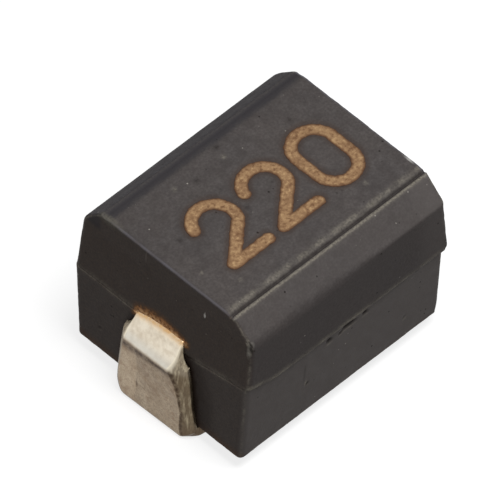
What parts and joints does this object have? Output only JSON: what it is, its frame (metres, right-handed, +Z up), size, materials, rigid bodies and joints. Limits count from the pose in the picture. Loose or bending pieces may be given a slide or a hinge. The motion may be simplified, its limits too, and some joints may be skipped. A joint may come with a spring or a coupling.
{
  "type": "shielded smd inductor",
  "caption": "Moulded, magnetically shielded chip inductor: black resin block with chamfered long edges, folded tin-plated end terminals and a ferrite core and winding inside.",
  "frame": {"origin": "centre of the footprint, on the plane that the two solder feet rest on", "axes": "+X along the length from the left terminal to the right one, +Z up out of the marked top, +Y across the width towards the tops of the figures"},
  "size_m": [0.0032, 0.0024, 0.0022],
  "materials": {
    "moulding_resin": "matte black filled epoxy, finely grained, slightly rubbed along its edges",
    "laser_marking": "rough ochre-brown laser-burnt resin",
    "tinned_strip": "satin matt-tin plating over a copper alloy strip, faint rolling grain and handling scratches",
    "core_ferrite": "sintered ferrite, dark grey",
    "enamelled_wire": "clear enamel over copper",
    "sleeve_ferrite": "ground ferrite, dark grey",
    "core_adhesive": "cured epoxy adhesive, pale amber",
    "weld_metal": "remelted tin and copper, dull"
  },
  "bodies": {
    "root": {"moulded_body": "moulding_resin", "value_mark": "laser_marking", "left_terminal": "tinned_strip", "right_terminal": "tinned_strip", "drum_core": "core_ferrite", "winding": "enamelled_wire", "shield_sleeve": "sleeve_ferrite", "left_core_bond": "core_adhesive", "right_core_bond": "core_adhesive", "left_wire_weld": "weld_metal", "right_wire_weld": "weld_metal"}
  },
  "joints": []
}
